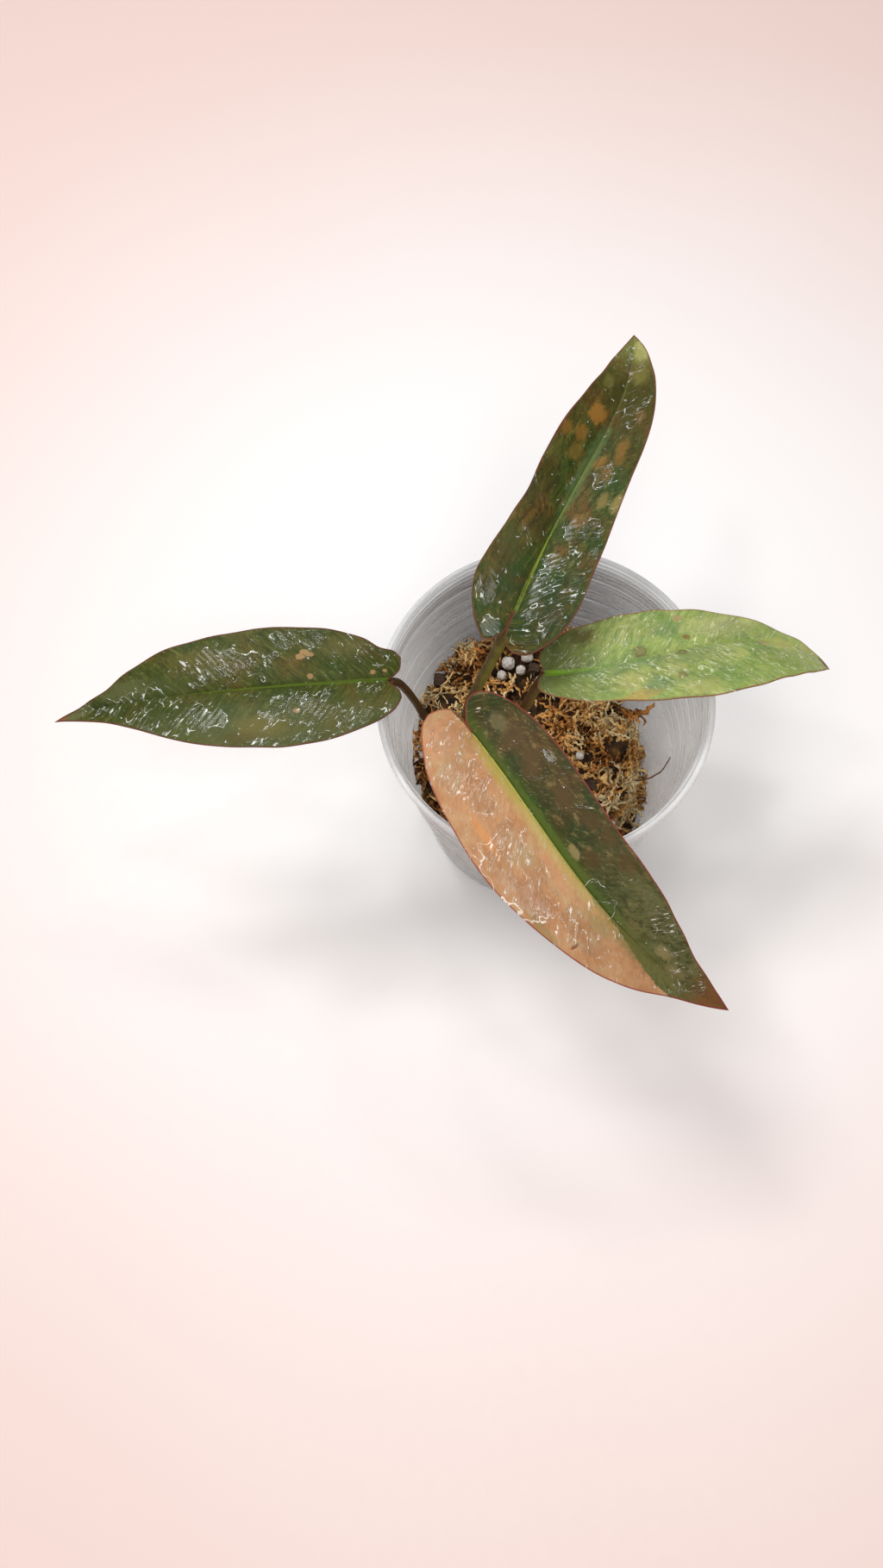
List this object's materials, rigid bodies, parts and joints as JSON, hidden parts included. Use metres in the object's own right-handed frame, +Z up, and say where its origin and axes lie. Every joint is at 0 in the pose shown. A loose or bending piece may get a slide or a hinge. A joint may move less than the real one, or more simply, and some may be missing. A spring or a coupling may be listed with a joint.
{
  "type": "potted variegated philodendron atabapoense",
  "caption": "Young climbing aroid with long arrow-based leaves, some part salmon and part green, on slim petioles from a creeping stem in moss in a round frosted nursery pot.",
  "frame": {"origin": "centre of the pot's underside", "axes": "+Z up along the pot's axis, +X to the viewer's right and +Y away from the viewer; the half salmon leaf points to the front right"},
  "size_m": [0.2685, 0.2216, 0.1624],
  "materials": {
    "frosted_plastic": "satin",
    "moss": "matte",
    "moss_tuft": "matte",
    "stem": "satin",
    "petiole": "satin",
    "leaf_rear": "satin",
    "leaf_left": "satin",
    "leaf_right": "satin",
    "leaf_front": "satin",
    "root": "matte",
    "root_fibre": "matte",
    "pumice": "matte",
    "bark": "matte"
  },
  "bodies": {
    "root": {"bark_1": "bark", "bark_2": "bark", "bark_3": "bark", "leaf_front": "leaf_front", "leaf_left": "leaf_left", "leaf_rear": "leaf_rear", "leaf_right": "leaf_right", "moss_bed": "moss", "moss_tuft_back": "moss_tuft", "moss_tuft_front_right": "moss_tuft", "moss_tuft_left": "moss_tuft", "moss_tuft_middle": "moss_tuft", "moss_tuft_rear_left": "moss_tuft", "moss_tuft_right": "moss_tuft", "petiole_front": "petiole", "petiole_left": "petiole", "petiole_rear": "petiole", "petiole_right": "petiole", "pot": "frosted_plastic", "pumice_1": "pumice", "pumice_2": "pumice", "pumice_3": "pumice", "pumice_4": "pumice", "pumice_5": "pumice", "pumice_6": "pumice", "pumice_7": "pumice", "pumice_8": "pumice", "root_1": "root", "root_2": "root", "root_3": "root", "root_4": "root", "root_fibre": "root_fibre", "stem": "stem"}
  },
  "joints": []
}
